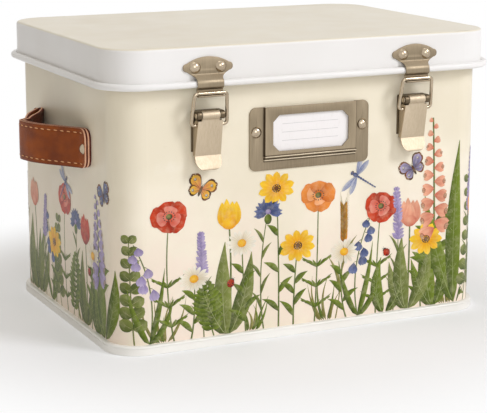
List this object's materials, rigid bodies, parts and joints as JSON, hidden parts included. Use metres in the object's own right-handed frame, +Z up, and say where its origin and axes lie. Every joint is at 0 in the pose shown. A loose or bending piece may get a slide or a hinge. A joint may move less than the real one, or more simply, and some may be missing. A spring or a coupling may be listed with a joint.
{
  "type": "garden seed organizer box",
  "caption": "Sheet-metal garden box with a hinged lid, draw latches, leather side handles, a label holder and inner divider cards that sort seed packets.",
  "frame": {"origin": "on the floor under the middle of the box, at the foot of the base rim", "axes": "+X along the front to the right, +Y to the rear, +Z up; the label holder faces -Y"},
  "size_m": [0.3294, 0.2158, 0.1965],
  "materials": {
    "enamel_cream": "semi-gloss printed enamel",
    "enamel_white": "semi-gloss enamel",
    "enamel_inside": "plain enamel",
    "satin_nickel": "satin nickel plate",
    "bright_nickel": "bright nickel plate",
    "leather_tan": "smooth waxed leather, stitched",
    "card_white": "plain card",
    "card_cream": "plain stiff card"
  },
  "bodies": {
    "box": {"body_shell": "enamel_cream", "base_pan": "enamel_white", "divider": "enamel_inside", "label_holder": "satin_nickel", "label_holder_rivets": "bright_nickel", "latch_base_rivets": "bright_nickel", "hinge_rivets_lower": "bright_nickel", "index_card_front_1": "card_cream", "index_card_front_2": "card_cream", "index_card_front_3": "card_cream", "index_card_front_4": "card_cream", "index_card_front_5": "card_cream", "index_card_front_6": "card_cream", "index_card_rear_1": "card_cream", "index_card_rear_2": "card_cream", "index_card_rear_3": "card_cream", "index_card_rear_4": "card_cream", "index_card_rear_5": "card_cream", "index_card_rear_6": "card_cream", "handle_strap_left": "leather_tan", "handle_rivets_left": "bright_nickel", "latch_base_left": "satin_nickel", "latch_pin_left": "bright_nickel", "hinge_leaf_lower_left": "satin_nickel", "hinge_pin_left": "bright_nickel", "handle_strap_right": "leather_tan", "handle_rivets_right": "bright_nickel", "latch_base_right": "satin_nickel", "latch_pin_right": "bright_nickel", "hinge_leaf_lower_right": "satin_nickel", "hinge_pin_right": "bright_nickel"},
    "lid": {"lid_shell": "enamel_white", "keeper_rivets": "bright_nickel", "hinge_rivets_upper": "bright_nickel", "keeper_left": "satin_nickel", "keeper_right": "satin_nickel", "hinge_leaf_upper_left": "satin_nickel", "hinge_leaf_upper_right": "satin_nickel"},
    "label_card": {"label_card": "card_white"},
    "lever_left": {"lever_left": "satin_nickel"},
    "bail_left": {"bail_left": "bright_nickel"},
    "lever_right": {"lever_right": "satin_nickel"},
    "bail_right": {"bail_right": "bright_nickel"}
  },
  "joints": [
    {"name": "lid_hinge", "type": "hinge", "parent": "box", "child": "lid", "pos_m": [0, 0.10475, 0.166], "axis": [-1, 0, 0], "range_deg": [0, 105]},
    {"name": "lever_left_pivot", "type": "hinge", "parent": "box", "child": "lever_left", "pos_m": [-0.0753, -0.1054, 0.1533], "axis": [-1, 0, 0], "range_deg": [0, 120]},
    {"name": "bail_left_pivot", "type": "hinge", "parent": "lever_left", "child": "bail_left", "pos_m": [-0.0753, -0.104, 0.147], "axis": [-1, 0, 0], "range_deg": [-171, 0]},
    {"name": "lever_right_pivot", "type": "hinge", "parent": "box", "child": "lever_right", "pos_m": [0.0753, -0.1054, 0.1533], "axis": [-1, 0, 0], "range_deg": [0, 120]},
    {"name": "bail_right_pivot", "type": "hinge", "parent": "lever_right", "child": "bail_right", "pos_m": [0.0753, -0.104, 0.147], "axis": [-1, 0, 0], "range_deg": [-171, 0]},
    {"name": "label_card_slide", "type": "slide", "parent": "box", "child": "label_card", "axis": [0, 0, 1], "range_m": [0, 0.016]}
  ],
  "couplings": [
    {"joint": "bail_left_pivot", "follows": "lever_left_pivot", "ratio": -1.42},
    {"joint": "bail_right_pivot", "follows": "lever_right_pivot", "ratio": -1.42}
  ]
}
